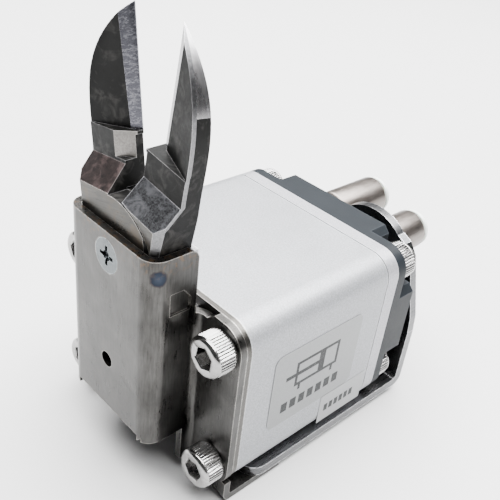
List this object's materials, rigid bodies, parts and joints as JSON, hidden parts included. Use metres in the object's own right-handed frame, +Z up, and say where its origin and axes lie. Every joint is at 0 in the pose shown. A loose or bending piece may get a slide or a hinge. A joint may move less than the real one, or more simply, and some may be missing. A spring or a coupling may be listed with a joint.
{
  "type": "pneumatic nipper",
  "caption": "Air-powered nipper head: pivoting cutting blades in a folded steel housing on a rectangular cylinder with rear air fittings and an L bracket.",
  "frame": {"origin": "centre of the four mounting holes, on the underside of the rear bracket", "axes": "+Z up towards the blade tips, cylinder axis along Y with the blades in front at -Y, +X to the side that carries the label"},
  "size_m": [0.052, 0.0877, 0.0936],
  "materials": {
    "stainless_sheet": "satin brushed",
    "steel": "ground",
    "screw_steel": "bright, knurled heads",
    "tool_steel": "black oxide with ground faces",
    "bronze": "sintered",
    "rubber": "moulded",
    "body_aluminium": "matt blasted anodised",
    "cover_paint": "dark slate satin",
    "collar_plastic": "translucent white",
    "nickel_brass": "warm nickel plate",
    "label_film": "silver film"
  },
  "bodies": {
    "cylinder": {"head_housing": "stainless_sheet", "front_plate": "stainless_sheet", "pivot_plate": "steel", "pivot_plate_screws": "steel", "pivot_pin": "steel", "pivot_screw": "screw_steel", "rod_bush": "bronze", "rod_seal": "rubber", "front_bumper": "rubber", "rear_bumper": "rubber", "cylinder_body": "body_aluminium", "end_gasket": "rubber", "rear_head": "body_aluminium", "head_o_ring": "rubber", "rear_cover": "cover_paint", "front_screws": "screw_steel", "rear_screws": "screw_steel", "port_gaskets": "collar_plastic", "fitting_1_stud": "nickel_brass", "fitting_2_stud": "nickel_brass", "fitting_1_body": "nickel_brass", "fitting_2_body": "nickel_brass", "tube_seals": "rubber", "grip_rings": "steel", "rear_bracket": "stainless_sheet", "bracket_screws": "screw_steel", "label_plate": "label_film", "label_tag": "label_film"},
    "blade_left": {"blade_left": "tool_steel", "cam_pin_left": "steel"},
    "blade_right": {"blade_right": "tool_steel", "cam_pin_right": "steel"},
    "piston_set": {"cam_plate": "steel", "cam_cross_pin": "steel", "piston_rod": "steel", "piston": "body_aluminium", "piston_seals": "rubber", "piston_wear_ring": "collar_plastic", "piston_nut": "steel"},
    "collar_1": {"release_collar_1": "collar_plastic"},
    "collar_2": {"release_collar_2": "collar_plastic"}
  },
  "joints": [
    {"name": "piston_stroke", "type": "slide", "parent": "cylinder", "child": "piston_set", "axis": [0, -1, 0], "range_m": [0, 0.0048]},
    {"name": "left_blade_pivot", "type": "hinge", "parent": "cylinder", "child": "blade_left", "pos_m": [0, -0.0332, 0.049], "axis": [0, 1, 0], "range_deg": [0, 8.5]},
    {"name": "right_blade_pivot", "type": "hinge", "parent": "cylinder", "child": "blade_right", "pos_m": [0, -0.0332, 0.049], "axis": [0, -1, 0], "range_deg": [0, 8.5]},
    {"name": "collar_1_press", "type": "slide", "parent": "cylinder", "child": "collar_1", "axis": [0, -1, 0], "range_m": [0, 0.0005], "stiffness_N_per_m": 300},
    {"name": "collar_2_press", "type": "slide", "parent": "cylinder", "child": "collar_2", "axis": [0, -1, 0], "range_m": [0, 0.0005], "stiffness_N_per_m": 300}
  ],
  "couplings": [
    {"joint": "left_blade_pivot", "follows": "piston_stroke", "rad_per_m": 30.9},
    {"joint": "right_blade_pivot", "follows": "piston_stroke", "rad_per_m": 30.9}
  ]
}
